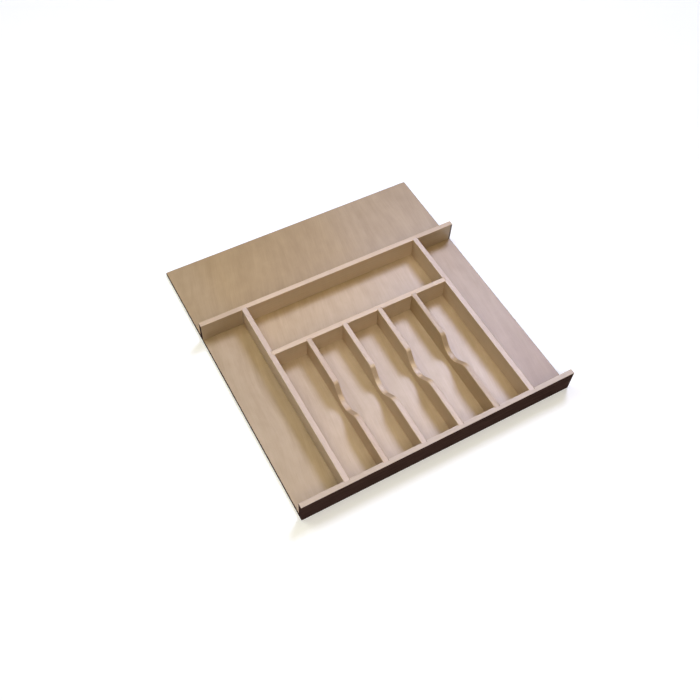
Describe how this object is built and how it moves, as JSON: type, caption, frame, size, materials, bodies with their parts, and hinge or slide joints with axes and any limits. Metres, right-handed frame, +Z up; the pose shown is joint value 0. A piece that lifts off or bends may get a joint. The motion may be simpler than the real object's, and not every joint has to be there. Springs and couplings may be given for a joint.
{
  "type": "drawer organizer insert",
  "caption": "Flat wooden insert for a kitchen drawer: cutlery slots with finger notches, a wide cross tray, open side bays and a plain rear shelf.",
  "frame": {"origin": "centre of the base panel's underside", "axes": "+X to the right as seen from the front of the drawer, +Y to the back of the drawer, +Z up"},
  "size_m": [0.5238, 0.5588, 0.0476],
  "materials": {
    "maple": "clear satin lacquer on pale maple; outside faces dark brown",
    "plywood_panel": "clear satin lacquer on pale veneered plywood",
    "steel_brad": "bright drawn wire"
  },
  "bodies": {
    "root": {"base_panel": "plywood_panel", "front_rail": "maple", "middle_rail": "maple", "back_rail": "maple", "left_divider": "maple", "right_divider": "maple", "slot_divider_1": "maple", "slot_divider_2": "maple", "slot_divider_3": "maple", "slot_divider_4": "maple", "front_rail_brad_1": "steel_brad", "front_rail_brad_2": "steel_brad", "front_rail_brad_3": "steel_brad", "front_rail_brad_4": "steel_brad", "front_rail_brad_5": "steel_brad", "back_rail_brad_1": "steel_brad", "back_rail_brad_2": "steel_brad", "back_rail_brad_3": "steel_brad", "back_rail_brad_4": "steel_brad", "back_rail_brad_5": "steel_brad", "middle_rail_brad_1": "steel_brad", "middle_rail_brad_2": "steel_brad", "middle_rail_brad_3": "steel_brad", "left_divider_brad_1": "steel_brad", "left_divider_brad_2": "steel_brad", "left_divider_brad_3": "steel_brad", "right_divider_brad_1": "steel_brad", "right_divider_brad_2": "steel_brad", "right_divider_brad_3": "steel_brad", "slot_divider_1_brad_1": "steel_brad", "slot_divider_1_brad_2": "steel_brad", "slot_divider_2_brad_1": "steel_brad", "slot_divider_2_brad_2": "steel_brad", "slot_divider_3_brad_1": "steel_brad", "slot_divider_3_brad_2": "steel_brad", "slot_divider_4_brad_1": "steel_brad", "slot_divider_4_brad_2": "steel_brad"}
  },
  "joints": []
}
